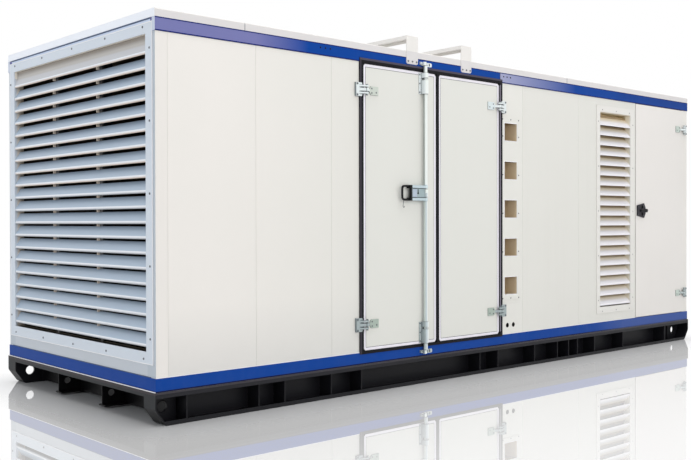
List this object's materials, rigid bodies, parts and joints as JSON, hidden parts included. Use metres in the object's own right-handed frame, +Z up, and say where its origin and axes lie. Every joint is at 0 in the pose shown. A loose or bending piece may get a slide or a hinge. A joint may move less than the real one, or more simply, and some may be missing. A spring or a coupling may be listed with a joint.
{
  "type": "gas generator set in a sound-proofed enclosure",
  "caption": "Walk-in gas generator set on a black steel skid, cream panels with blue bands, a louvred end, a double door with a lock rod, cable ports, and hoops over the roof",
  "frame": {"origin": "Middle of the footprint on the ground, under the centre of the bounding box", "axes": "+X along the length towards the control door, -Y towards the side with the double door, +Z up"},
  "size_m": [7.094, 2.5458, 2.938],
  "materials": {
    "cream_paint": "satin cream paint on steel panels",
    "blue_paint": "satin blue paint",
    "skid_paint": "black paint on structural steel",
    "zinc_steel": "zinc-coated fittings, slightly mottled",
    "dark_frame": "black rubber-edged frame and grips",
    "louvre_paint": "pale blue-grey paint on sheet louvres"
  },
  "bodies": {
    "root": {"skid_front_beam": "skid_paint", "skid_rear_beam": "skid_paint", "inner_beams": "skid_paint", "cross_members": "skid_paint", "end_rails": "skid_paint", "lifting_plates": "skid_paint", "floor_plate": "skid_paint", "long_sills": "blue_paint", "end_sills": "blue_paint", "corner_posts": "cream_paint", "long_bands": "blue_paint", "end_headers": "cream_paint", "side_panels_a": "cream_paint", "side_panels_b": "cream_paint", "side_panels_c": "cream_paint", "side_panels_d": "cream_paint", "port_panel": "cream_paint", "port_strip": "cream_paint", "port_duct": "cream_paint", "pipe_plate": "cream_paint", "rear_plain_panel": "cream_paint", "louvre_panels": "cream_paint", "louvre_frames": "cream_paint", "side_louvre_blades": "louvre_paint", "door_surrounds": "dark_frame", "hinge_brackets": "zinc_steel", "lock_keepers": "zinc_steel", "rear_doors": "cream_paint", "rear_straps": "zinc_steel", "rear_lock_gear": "zinc_steel", "end_louvre_frame": "louvre_paint", "end_louvre_blades": "louvre_paint", "end_louvre_mullions": "louvre_paint", "kick_panel": "louvre_paint", "right_end_wall": "cream_paint", "roof_left": "cream_paint", "roof_middle": "cream_paint", "roof_right": "cream_paint", "roof_hoops": "cream_paint"},
    "left_door": {"left_door": "cream_paint", "left_door_straps": "zinc_steel", "lock_guides": "zinc_steel"},
    "lock_rod": {"lock_rod": "zinc_steel", "lock_handle": "zinc_steel", "lock_grip": "dark_frame"},
    "right_door": {"right_door": "cream_paint", "right_door_straps": "zinc_steel"},
    "control_door": {"control_door": "cream_paint", "control_door_straps": "zinc_steel", "control_dish": "dark_frame"},
    "control_paddle": {"control_paddle": "dark_frame"}
  },
  "joints": [
    {"name": "left_door_hinge", "type": "hinge", "parent": "root", "child": "left_door", "pos_m": [-1.617, -1.245, 1.4935], "axis": [0, 0, -1], "range_deg": [0, 110]},
    {"name": "right_door_hinge", "type": "hinge", "parent": "root", "child": "right_door", "pos_m": [0.062, -1.245, 1.4935], "axis": [0, 0, 1], "range_deg": [0, 110]},
    {"name": "control_door_hinge", "type": "hinge", "parent": "root", "child": "control_door", "pos_m": [3.419, -1.245, 1.4935], "axis": [0, 0, 1], "range_deg": [0, 110]},
    {"name": "lock_rod_turn", "type": "hinge", "parent": "left_door", "child": "lock_rod", "pos_m": [-0.939, -1.247, 1.619], "axis": [0, 0, 1], "range_deg": [0, 100]},
    {"name": "control_latch_turn", "type": "hinge", "parent": "control_door", "child": "control_paddle", "pos_m": [2.509, -1.233, 1.495], "axis": [0, -1, 0], "range_deg": [0, 90]}
  ]
}
